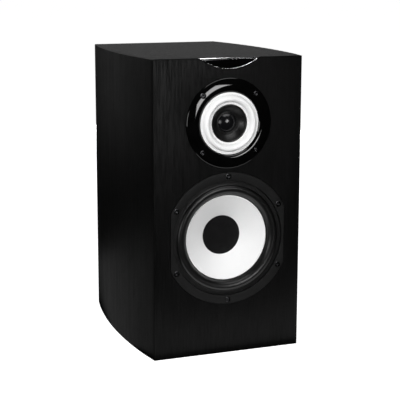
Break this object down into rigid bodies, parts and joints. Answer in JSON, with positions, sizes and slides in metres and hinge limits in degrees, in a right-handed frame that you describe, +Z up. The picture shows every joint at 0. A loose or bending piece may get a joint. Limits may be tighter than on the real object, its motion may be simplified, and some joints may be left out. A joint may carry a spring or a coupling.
{
  "type": "bookshelf loudspeaker",
  "caption": "Bookshelf loudspeaker with a curved-sided black cabinet, a white-coned woofer, a coaxial midrange and tweeter, a rear port and binding posts.",
  "frame": {"origin": "on the floor plane, under the middle of the part's bounding box", "axes": "+X to the right seen from the front, +Y from the drivers towards the terminals, +Z up"},
  "size_m": [0.2218, 0.3212, 0.39],
  "materials": {
    "black_ash": "black stained ash veneer, open grain, satin lacquer",
    "black_ash_top": "black stained ash veneer, open grain, satin lacquer",
    "brace_board": "bare fibreboard",
    "badge_gloss": "black, high gloss",
    "bright_metal": "polished",
    "cast_dark": "die-cast, dark grey powder coat",
    "cast_plain": "die-cast, unpainted",
    "foam": "black closed-cell foam",
    "black_screw": "blackened steel",
    "roll_rubber": "black, satin",
    "white_cone": "white coated, matt, slightly crinkled",
    "white_ring": "white, satin",
    "white_roll": "white, satin",
    "cap_fabric": "black doped cloth, matt",
    "spider_cloth": "resin-stiffened cotton",
    "former": "amber film",
    "copper": "enamelled copper",
    "steel": "plated, turned",
    "ferrite": "sintered ferrite, matt",
    "neodymium": "nickel plated",
    "phenolic": "brown laminate with tinned tags",
    "bezel_gloss": "black, mirror gloss",
    "horn_gloss": "black, gloss",
    "dome": "black coated dome, glossy",
    "black_moulding": "moulded, fine texture",
    "gold": "gold-plated brass",
    "red_plastic": "red",
    "black_plastic": "black",
    "board_green": "green solder mask",
    "nylon": "natural nylon",
    "film_yellow": "yellow film wrap",
    "ceramic": "white cement body",
    "wire": "PVC insulation, red and black pairs",
    "wadding": "polyester fibre"
  },
  "bodies": {
    "enclosure": {"front_baffle": "black_ash", "rear_panel": "black_ash", "left_side": "black_ash", "right_side": "black_ash", "top_panel": "black_ash_top", "bottom_panel": "black_ash", "window_brace": "brace_board", "badge_plate": "badge_gloss", "badge_rim": "bright_metal", "woofer_basket": "cast_dark", "woofer_seal": "foam", "woofer_screws": "black_screw", "woofer_surround": "roll_rubber", "woofer_spider": "spider_cloth", "woofer_front_plate": "steel", "woofer_magnet": "ferrite", "woofer_yoke": "steel", "woofer_terminal_strip": "phenolic", "woofer_tinsel_leads": "copper", "coax_bezel": "bezel_gloss", "coax_chassis": "cast_plain", "coax_screws": "black_screw", "mid_outer_suspension": "white_roll", "mid_inner_suspension": "white_roll", "mid_front_plate": "steel", "mid_magnet": "ferrite", "mid_yoke": "steel", "mid_chamber": "black_moulding", "tweeter_waveguide": "horn_gloss", "tweeter_suspension": "roll_rubber", "tweeter_pole_disc": "steel", "tweeter_magnet": "neodymium", "tweeter_cup": "steel", "port_tube": "black_moulding", "terminal_plate": "black_moulding", "terminal_screws": "black_screw", "post_studs": "gold", "post_collars": "black_plastic", "post_nuts": "steel", "crossover_board": "board_green", "crossover_standoffs": "nylon", "crossover_coils": "copper", "crossover_capacitors": "film_yellow", "crossover_resistors": "ceramic", "input_wires": "wire", "woofer_wires": "wire", "coax_wires": "wire", "damping_wadding": "wadding"},
    "woofer_diaphragm": {"woofer_cone": "white_cone", "woofer_dust_cap": "cap_fabric", "woofer_coil_former": "former", "woofer_voice_coil": "copper"},
    "mid_diaphragm": {"mid_ring_diaphragm": "white_ring", "mid_voice_coil": "copper"},
    "tweeter_diaphragm": {"tweeter_dome": "dome", "tweeter_voice_coil": "copper"},
    "red_clamp": {"red_clamp_washer": "gold"},
    "red_grip": {"red_knob": "red_plastic"},
    "black_clamp": {"black_clamp_washer": "gold"},
    "black_grip": {"black_knob": "black_plastic"}
  },
  "joints": [
    {"name": "woofer_stroke", "type": "slide", "parent": "enclosure", "child": "woofer_diaphragm", "axis": [0, -1, 0], "range_m": [-0.005, 0.005], "stiffness_N_per_m": 900, "deforming": ["woofer_surround", "woofer_spider", "woofer_tinsel_leads"]},
    {"name": "mid_stroke", "type": "slide", "parent": "enclosure", "child": "mid_diaphragm", "axis": [0, -1, 0], "range_m": [-0.001, 0.001], "stiffness_N_per_m": 1500, "deforming": ["mid_outer_suspension", "mid_inner_suspension"]},
    {"name": "tweeter_stroke", "type": "slide", "parent": "enclosure", "child": "tweeter_diaphragm", "axis": [0, -1, 0], "range_m": [-0.0003, 0.0003], "stiffness_N_per_m": 300, "deforming": ["tweeter_suspension"]},
    {"name": "red_clamp_slide", "type": "slide", "parent": "enclosure", "child": "red_clamp", "axis": [0, 1, 0], "range_m": [0, 0.005]},
    {"name": "red_knob_turn", "type": "hinge", "parent": "red_clamp", "child": "red_grip", "pos_m": [-0.019, 0.1491, 0.092], "axis": [0, 1, 0], "range_deg": [0, 1800]},
    {"name": "black_clamp_slide", "type": "slide", "parent": "enclosure", "child": "black_clamp", "axis": [0, 1, 0], "range_m": [0, 0.005]},
    {"name": "black_knob_turn", "type": "hinge", "parent": "black_clamp", "child": "black_grip", "pos_m": [0.019, 0.1491, 0.092], "axis": [0, 1, 0], "range_deg": [0, 1800]}
  ],
  "couplings": [
    {"joint": "red_knob_turn", "follows": "red_clamp_slide", "rad_per_m": 6283.2},
    {"joint": "black_knob_turn", "follows": "black_clamp_slide", "rad_per_m": 6283.2}
  ]
}
